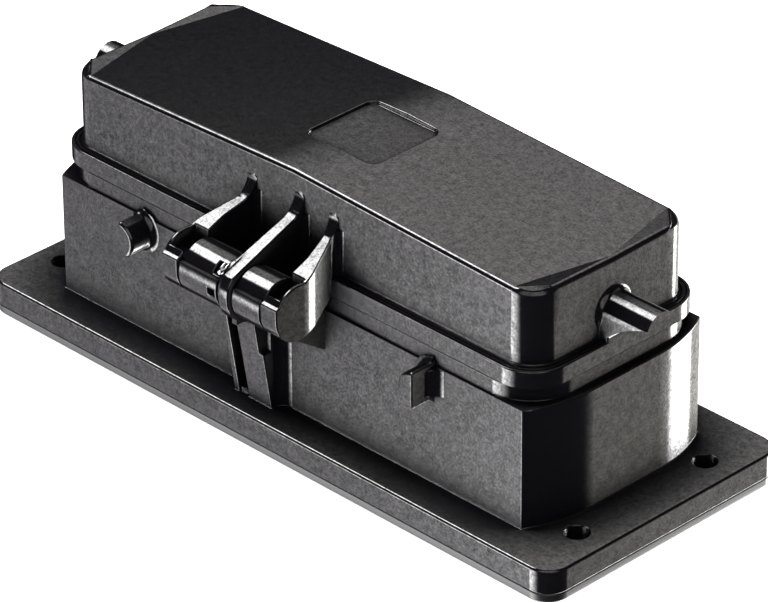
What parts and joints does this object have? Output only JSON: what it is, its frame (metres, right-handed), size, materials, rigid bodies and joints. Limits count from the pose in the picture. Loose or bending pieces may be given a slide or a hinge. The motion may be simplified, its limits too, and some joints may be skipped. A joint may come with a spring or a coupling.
{
  "type": "bulkhead rectangular power connector",
  "caption": "Heavy-duty rectangular connector: bulkhead housing with a bolted flange, socket contacts and a hinged, spring-closed cover with locking pegs.",
  "frame": {"origin": "centre of the four fixing holes, on the face of the flange seal that meets the panel", "axes": "+X along the connector, +Y away from the hinge, +Z out of the panel towards the cover"},
  "size_m": [0.1426, 0.0676, 0.0527],
  "materials": {
    "body_plastic": "satin",
    "cover_plastic": "satin",
    "steel": "zinc plated",
    "spring_steel": "drawn",
    "brass": "plain",
    "contact_metal": "silver plated",
    "insert_plastic": "matt",
    "seal_rubber": "matt"
  },
  "bodies": {
    "base": {"base_housing": "body_plastic", "hinge_pin": "steel", "torsion_spring": "spring_steel", "panel_seal": "seal_rubber", "rim_seal": "seal_rubber", "contact_insert": "insert_plastic", "contacts_front": "contact_metal", "contacts_back": "contact_metal", "cages_front": "steel", "cages_back": "steel", "terminal_screws_front": "steel", "terminal_screws_back": "steel", "fixing_screw_1": "steel", "fixing_screw_2": "steel", "fixing_screw_3": "steel", "fixing_screw_4": "steel", "bush_1": "brass", "bush_2": "brass", "bush_3": "brass", "bush_4": "brass", "earth_plate_left": "steel", "earth_plate_right": "steel", "earth_clamp_left": "brass", "earth_clamp_right": "brass", "earth_screw_left": "steel", "earth_screw_right": "steel", "earth_nut_left": "brass", "earth_nut_right": "brass"},
    "cover_body": {"cover": "cover_plastic"}
  },
  "joints": [
    {"name": "cover_hinge", "type": "hinge", "parent": "base", "child": "cover_body", "pos_m": [0, -0.0321, 0.0353], "axis": [1, 0, 0], "range_deg": [0, 110], "stiffness_Nm_per_rad": 0.02, "springref_deg": -34.38}
  ]
}
